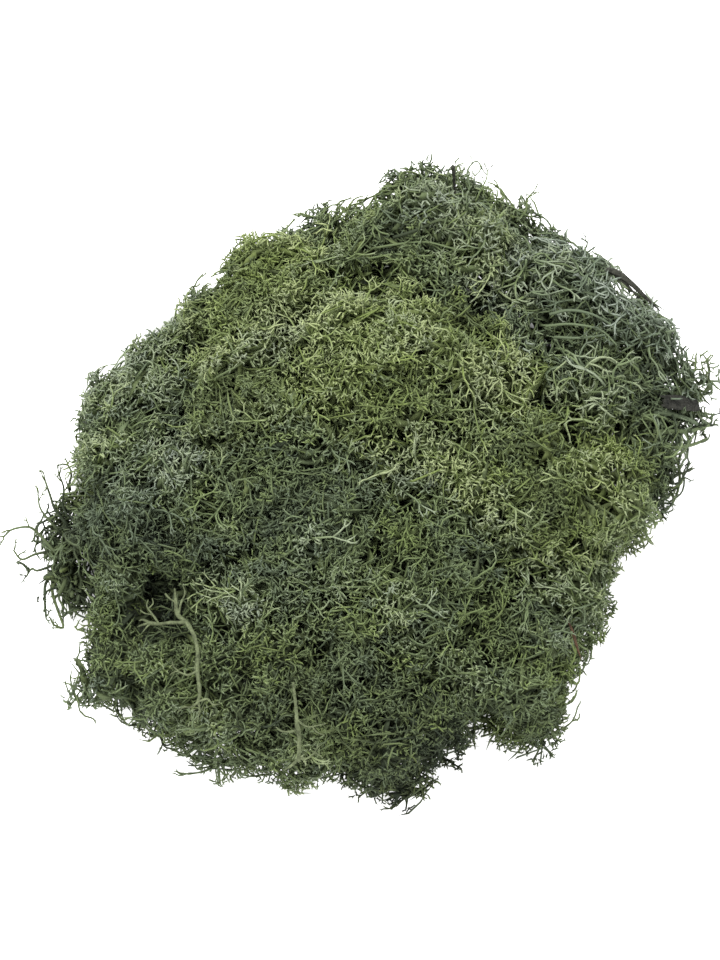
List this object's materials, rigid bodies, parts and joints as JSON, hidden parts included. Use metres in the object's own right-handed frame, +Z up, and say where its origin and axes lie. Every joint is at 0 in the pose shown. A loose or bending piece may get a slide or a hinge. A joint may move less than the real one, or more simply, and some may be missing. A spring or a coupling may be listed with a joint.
{
  "type": "moss clump",
  "caption": "Low heap of dried, dyed reindeer moss: branching green cushions pressed together, with small twigs, a needle and a bark strip caught in it. Decorates pots, trays and models.",
  "frame": {"origin": "middle of the heap's footprint, on the surface that it rests on", "axes": "+Z up, -Y towards the viewer, +X to the viewer's right"},
  "size_m": [0.166, 0.1556, 0.0599],
  "materials": {
    "moss_yellow_green": "soft dyed lichen branchlets, matt, paler at the tips and dark brown-green inside",
    "moss_mid_green": "soft dyed lichen branchlets, matt, paler at the tips and dark brown-green inside",
    "moss_deep_green": "soft dyed lichen branchlets, matt, paler at the tips and dark brown-green inside",
    "moss_blue_green": "soft dyed lichen branchlets, matt, paler at the tips and dark brown-green inside",
    "loose_stem": "matt, finely wrinkled bare lichen stem, pale grey-green",
    "dark_twig": "matt dark brown bark with fine lengthways ridges",
    "dry_needle": "satin red-brown dry needle",
    "bark": "matt grey-brown flake of bark with lengthways cracks"
  },
  "bodies": {
    "root": {"tuft_crown": "moss_deep_green", "tuft_back_knot": "moss_blue_green", "tuft_upper_left": "moss_yellow_green", "tuft_left_shoulder": "moss_mid_green", "tuft_saddle": "moss_yellow_green", "tuft_summit": "moss_yellow_green", "tuft_right_flank": "moss_blue_green", "tuft_right_brow": "moss_yellow_green", "tuft_middle": "moss_mid_green", "tuft_low_brow": "moss_mid_green", "tuft_left_middle": "moss_mid_green", "tuft_left_spray": "moss_deep_green", "tuft_lower_left": "moss_mid_green", "tuft_bottom": "moss_deep_green", "tuft_lower_right": "moss_mid_green", "tuft_right_low": "moss_mid_green", "stem_left": "loose_stem", "stem_bottom": "loose_stem", "twig_dark": "dark_twig", "twig_stub": "dark_twig", "needle_red": "dry_needle", "bark_strip": "bark"}
  },
  "joints": []
}
